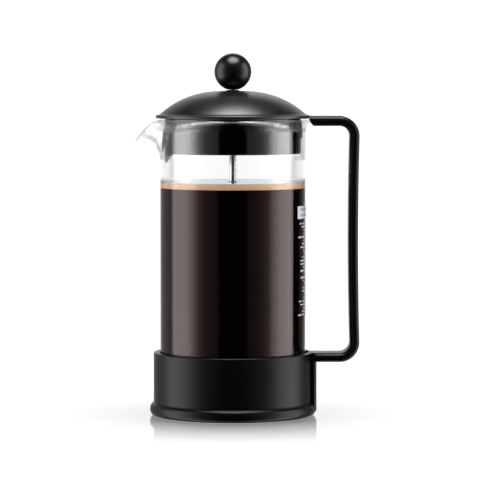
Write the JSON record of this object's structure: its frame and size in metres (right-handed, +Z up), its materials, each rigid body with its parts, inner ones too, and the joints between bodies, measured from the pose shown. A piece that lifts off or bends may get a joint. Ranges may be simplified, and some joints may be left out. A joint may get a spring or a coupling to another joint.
{
  "type": "french press",
  "caption": "Glass beaker with a pouring beak in a black plastic base with a strap handle, under a turning domed lid with a ball-knobbed filter plunger.",
  "frame": {"origin": "on the beaker's axis, at the underside of the base's centre hub, in the plane the press stands on", "axes": "+Z up along the beaker's axis, +X towards the handle, -X towards the pouring beak"},
  "size_m": [0.1484, 0.1098, 0.2388],
  "materials": {
    "clear_glass": "clear fire-polished borosilicate glass",
    "black_plastic": "black moulded plastic with a soft gloss",
    "lid_plastic": "black moulded plastic with a satin gloss",
    "strainer_plastic": "black moulded plastic, polished",
    "bush_plastic": "plain black bearing plastic",
    "knob_plastic": "black moulded plastic with a soft gloss",
    "insert_brass": "turned brass",
    "polished_steel": "polished stainless steel",
    "stainless_steel": "pressed stainless steel",
    "spring_steel": "drawn stainless spring wire",
    "mesh_steel": "fine woven stainless wire"
  },
  "bodies": {
    "root": {"glass_beaker": "clear_glass", "base_holder": "black_plastic", "handle": "black_plastic"},
    "bush": {"rod_bush": "bush_plastic"},
    "lid": {"lid_dome": "lid_plastic", "lid_strainer": "strainer_plastic"},
    "plunger": {"knob": "knob_plastic", "knob_insert": "insert_brass", "plunger_rod": "polished_steel", "rod_collar": "stainless_steel", "spiral_plate": "stainless_steel", "rim_spring": "spring_steel", "filter_mesh": "mesh_steel", "cross_plate": "stainless_steel", "cross_plate_nut": "stainless_steel"}
  },
  "joints": [
    {"name": "lid_lift", "type": "slide", "parent": "root", "child": "bush", "axis": [0, 0, 1], "range_m": [0, 0.18]},
    {"name": "lid_turn", "type": "hinge", "parent": "bush", "child": "lid", "pos_m": [0, 0, 0.1965], "axis": [0, 0, 1], "continuous": true},
    {"name": "plunge", "type": "slide", "parent": "bush", "child": "plunger", "axis": [0, 0, 1], "range_m": [0, 0.13]}
  ]
}
